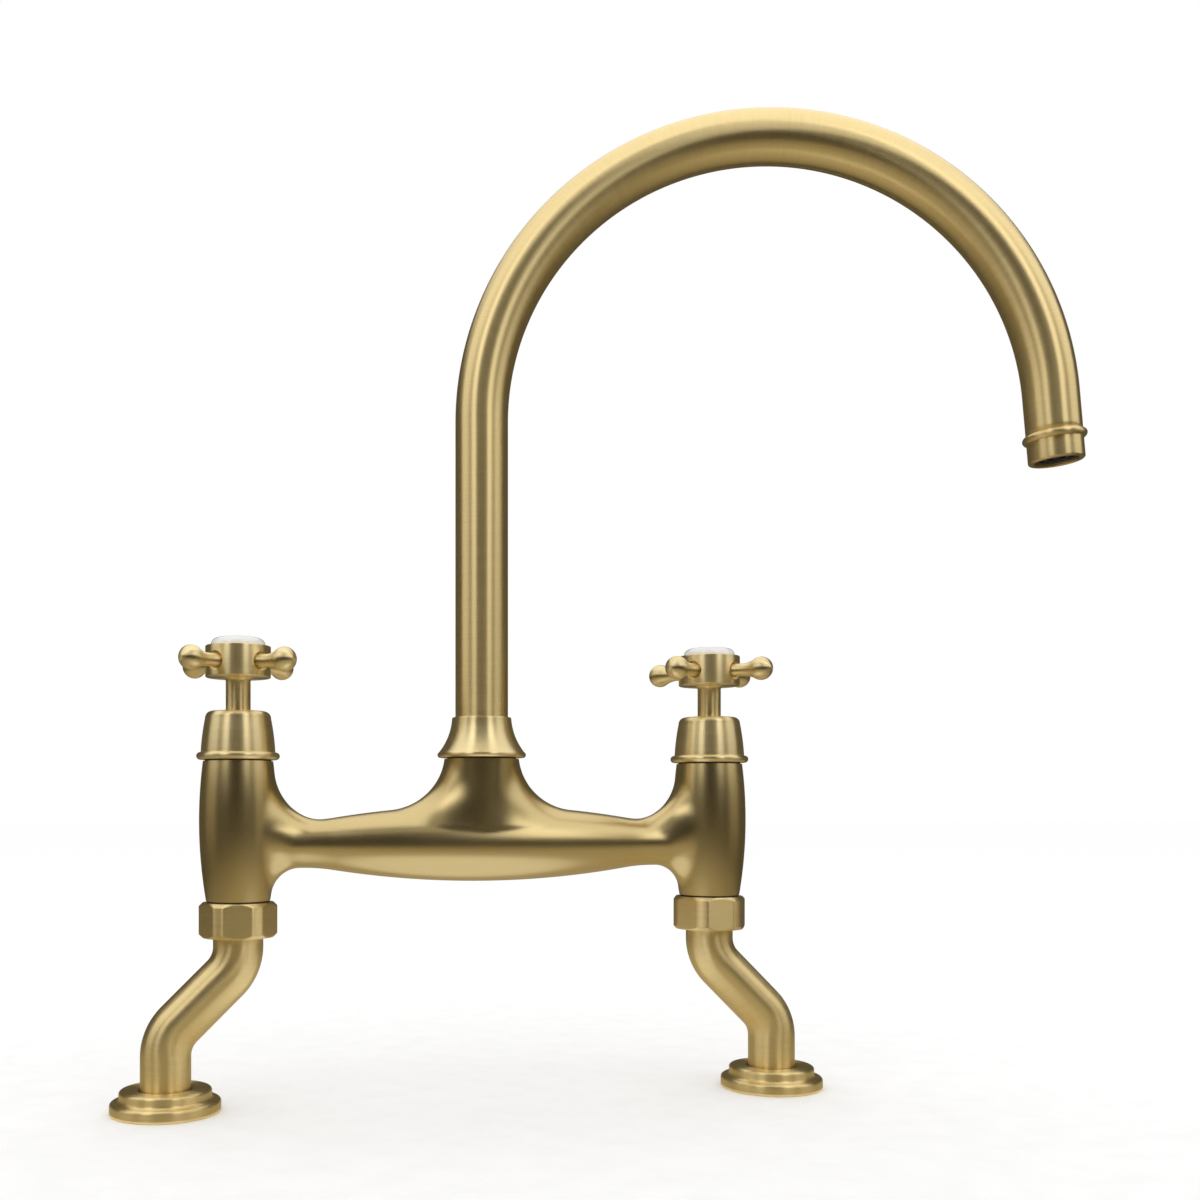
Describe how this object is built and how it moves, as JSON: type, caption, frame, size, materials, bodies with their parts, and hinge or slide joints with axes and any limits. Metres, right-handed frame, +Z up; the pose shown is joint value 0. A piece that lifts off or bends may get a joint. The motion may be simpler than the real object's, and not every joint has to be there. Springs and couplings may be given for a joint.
{
  "type": "kitchen bridge mixer tap",
  "caption": "Bridge kitchen mixer tap with a high swan-neck swivel spout, cross handles with porcelain indices, and cranked legs on deck flanges.",
  "frame": {"origin": "on the deck plane, midway between the two legs", "axes": "+Z up, +X along the bridge towards the cold pillar, -Y towards the user; at rest the spout stands 12 degrees in front of +X"},
  "size_m": [0.3947, 0.0866, 0.4116],
  "materials": {
    "satin_brass": "satin, brushed round the turned pieces",
    "porcelain": "white gloss glaze",
    "rubber_seal": "matt black",
    "steel_fixing": "plain stainless",
    "valve_ceramic": "lapped",
    "aerator_dark": "moulded"
  },
  "bodies": {
    "body": {"bridge_body": "satin_brass", "spout_collar": "satin_brass", "hot_bonnet": "satin_brass", "hot_cartridge_body": "satin_brass", "hot_fixed_disc": "valve_ceramic", "hot_seat_seal": "rubber_seal", "hot_union_nut": "satin_brass", "hot_union_washer": "rubber_seal", "hot_leg": "satin_brass", "hot_flange": "satin_brass", "hot_flange_ring": "rubber_seal", "hot_deck_seal": "rubber_seal", "cold_bonnet": "satin_brass", "cold_cartridge_body": "satin_brass", "cold_fixed_disc": "valve_ceramic", "cold_seat_seal": "rubber_seal", "cold_union_nut": "satin_brass", "cold_union_washer": "rubber_seal", "cold_leg": "satin_brass", "cold_flange": "satin_brass", "cold_flange_ring": "rubber_seal", "cold_deck_seal": "rubber_seal"},
    "spout": {"spout_tube": "satin_brass", "spout_spigot": "satin_brass", "spout_o_rings": "rubber_seal", "spout_split_ring": "satin_brass", "outlet_sleeve": "satin_brass", "aerator_insert": "aerator_dark", "aerator_washer": "rubber_seal"},
    "hot_handle": {"hot_handle_hub": "satin_brass", "hot_handle_arms": "satin_brass", "hot_index": "porcelain", "hot_handle_screw": "steel_fixing", "hot_spindle": "satin_brass", "hot_driven_disc": "valve_ceramic", "hot_spindle_ring": "rubber_seal", "hot_spindle_clip": "steel_fixing"},
    "cold_handle": {"cold_handle_hub": "satin_brass", "cold_handle_arms": "satin_brass", "cold_index": "porcelain", "cold_handle_screw": "steel_fixing", "cold_spindle": "satin_brass", "cold_driven_disc": "valve_ceramic", "cold_spindle_ring": "rubber_seal", "cold_spindle_clip": "steel_fixing"}
  },
  "joints": [
    {"name": "spout_swivel", "type": "hinge", "parent": "body", "child": "spout", "pos_m": [0, 0, 0.142], "axis": [0, 0, 1], "continuous": true},
    {"name": "hot_valve", "type": "hinge", "parent": "body", "child": "hot_handle", "pos_m": [-0.1, 0, 0.18], "axis": [0, 0, 1], "range_deg": [0, 90]},
    {"name": "cold_valve", "type": "hinge", "parent": "body", "child": "cold_handle", "pos_m": [0.1, 0, 0.18], "axis": [0, 0, 1], "range_deg": [-90, 0]}
  ]
}
